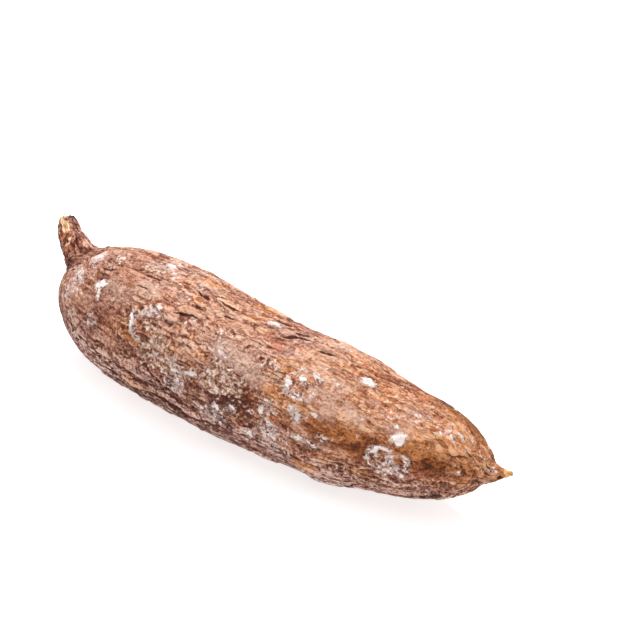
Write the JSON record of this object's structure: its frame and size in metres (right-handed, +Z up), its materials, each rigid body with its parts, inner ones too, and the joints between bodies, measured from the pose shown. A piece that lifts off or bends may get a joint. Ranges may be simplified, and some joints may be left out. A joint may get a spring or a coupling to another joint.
{
  "type": "cassava root",
  "caption": "Cassava root lying on its side: a long tapering body in brown bark, with a torn woody neck at one end and a thin tail tip at the other.",
  "frame": {"origin": "on the ground plane under the middle of the root's bounding box", "axes": "+X along the root from its torn neck to its tail tip, +Z up from the flat of the belly that it lies on"},
  "size_m": [0.285, 0.0716, 0.0692],
  "materials": {
    "bark": "matte, flaking bark with chalky marks"
  },
  "bodies": {
    "root": {"cassava_root": "bark"}
  },
  "joints": []
}
